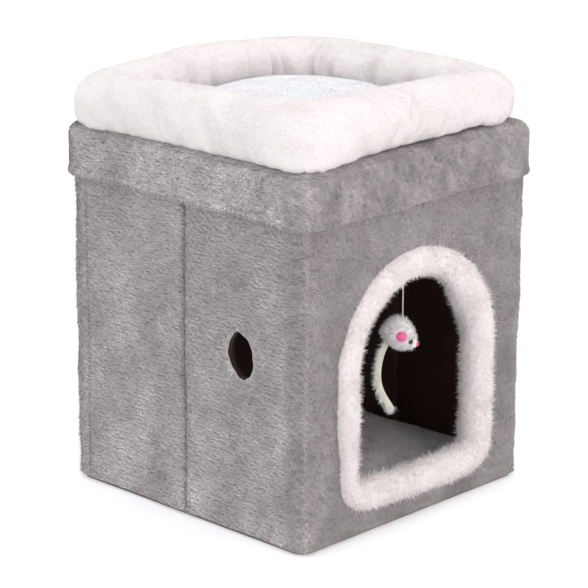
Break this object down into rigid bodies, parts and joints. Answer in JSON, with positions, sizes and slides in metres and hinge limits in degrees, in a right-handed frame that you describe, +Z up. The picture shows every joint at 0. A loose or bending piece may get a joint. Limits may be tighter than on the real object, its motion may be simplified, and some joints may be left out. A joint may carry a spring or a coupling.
{
  "type": "cat igloo bed",
  "caption": "Square plush cat house with an arched doorway, a side peephole and a hanging toy mouse; its lift-off lid carries a bolster bed with a loose cushion.",
  "frame": {"origin": "middle of the base's underside, on the ground", "axes": "+Z up; the doorway faces -Y and the peephole -X"},
  "size_m": [0.4184, 0.4222, 0.5294],
  "materials": {
    "grey_plush": "short crushed pile",
    "white_plush": "long soft pile",
    "white_fleece": "short fleece",
    "grey_fleece": "short fleece",
    "brown_cloth": "plain weave",
    "fibreboard": "raw board",
    "toy_fur": "fur",
    "toy_tail": "suede with fur",
    "toy_cord": "elastic thread",
    "pink_felt": "felt",
    "black_bead": "gloss",
    "red_bead": "gloss"
  },
  "bodies": {
    "base": {"base_cover": "brown_cloth", "base_board": "fibreboard", "base_liner": "brown_cloth", "back_plush": "grey_plush", "back_board": "fibreboard", "back_lining": "brown_cloth"},
    "left_rear_panel": {"left_rear_plush": "grey_plush", "left_rear_board": "fibreboard", "left_rear_lining": "brown_cloth"},
    "left_front_panel": {"left_front_plush": "grey_plush", "left_front_board": "fibreboard", "left_front_lining": "brown_cloth"},
    "front_wall": {"front_plush": "grey_plush", "front_board": "fibreboard", "front_lining": "brown_cloth", "door_trim": "white_plush"},
    "right_rear_panel": {"right_rear_plush": "grey_plush", "right_rear_board": "fibreboard", "right_rear_lining": "brown_cloth"},
    "right_front_panel": {"right_front_plush": "grey_plush", "right_front_board": "fibreboard", "right_front_lining": "brown_cloth"},
    "lid": {"lid_lining": "brown_cloth", "lid_board": "fibreboard", "lid_plush": "grey_plush", "lid_skirt": "grey_plush", "bolster": "white_plush", "bed_sheet": "white_fleece"},
    "cushion": {"top_cushion": "white_fleece"},
    "mat": {"floor_mat": "grey_fleece"},
    "loop": {"toy_loop": "toy_cord"},
    "string": {"toy_string": "toy_cord"},
    "mouse": {"mouse_body": "toy_fur", "mouse_ear_left": "pink_felt", "mouse_ear_right": "pink_felt", "mouse_eye_left": "black_bead", "mouse_eye_right": "black_bead", "mouse_nose": "red_bead", "mouse_tail": "toy_tail"}
  },
  "joints": [
    {"name": "wall_fold", "type": "hinge", "parent": "base", "child": "left_rear_panel", "pos_m": [-0.179, 0.179, 0], "axis": [0, 0, 1], "range_deg": [0, 80], "deforming": ["floor_mat"]},
    {"name": "left_crease", "type": "hinge", "parent": "left_rear_panel", "child": "left_front_panel", "pos_m": [-0.2, 0, 0], "axis": [0, 0, 1], "range_deg": [-160, 0]},
    {"name": "front_fold", "type": "hinge", "parent": "left_front_panel", "child": "front_wall", "pos_m": [-0.179, -0.179, 0], "axis": [0, 0, 1], "range_deg": [0, 80]},
    {"name": "right_fold", "type": "hinge", "parent": "base", "child": "right_rear_panel", "pos_m": [0.179, 0.179, 0], "axis": [0, 0, 1], "range_deg": [-80, 0]},
    {"name": "right_crease", "type": "hinge", "parent": "right_rear_panel", "child": "right_front_panel", "pos_m": [0.2, 0, 0], "axis": [0, 0, 1], "range_deg": [0, 160]},
    {"name": "lid_lift", "type": "slide", "parent": "base", "child": "lid", "axis": [0, 0, 1], "range_m": [0, 0.12]},
    {"name": "cushion_lift", "type": "slide", "parent": "lid", "child": "cushion", "axis": [0, 0, 1], "range_m": [0, 0.08]},
    {"name": "mat_lift", "type": "slide", "parent": "base", "child": "mat", "axis": [0, 0, 1], "range_m": [0, 0.06]},
    {"name": "toy_sway", "type": "hinge", "parent": "front_wall", "child": "loop", "pos_m": [-0.0025, -0.175, 0.30408], "axis": [0, 1, 0], "range_deg": [-15, 15]},
    {"name": "toy_swing", "type": "hinge", "parent": "loop", "child": "string", "pos_m": [-0.0025, -0.175, 0.30098], "axis": [-1, 0, 0], "range_deg": [-45, 35]},
    {"name": "mouse_turn", "type": "hinge", "parent": "string", "child": "mouse", "pos_m": [-0.0025, -0.175, 0.24758], "axis": [0, 0, 1], "range_deg": [-180, 180]}
  ],
  "couplings": [
    {"joint": "left_crease", "follows": "wall_fold", "ratio": -2},
    {"joint": "front_fold", "follows": "wall_fold", "ratio": 1},
    {"joint": "right_fold", "follows": "wall_fold", "ratio": -1},
    {"joint": "right_crease", "follows": "wall_fold", "ratio": 2}
  ]
}
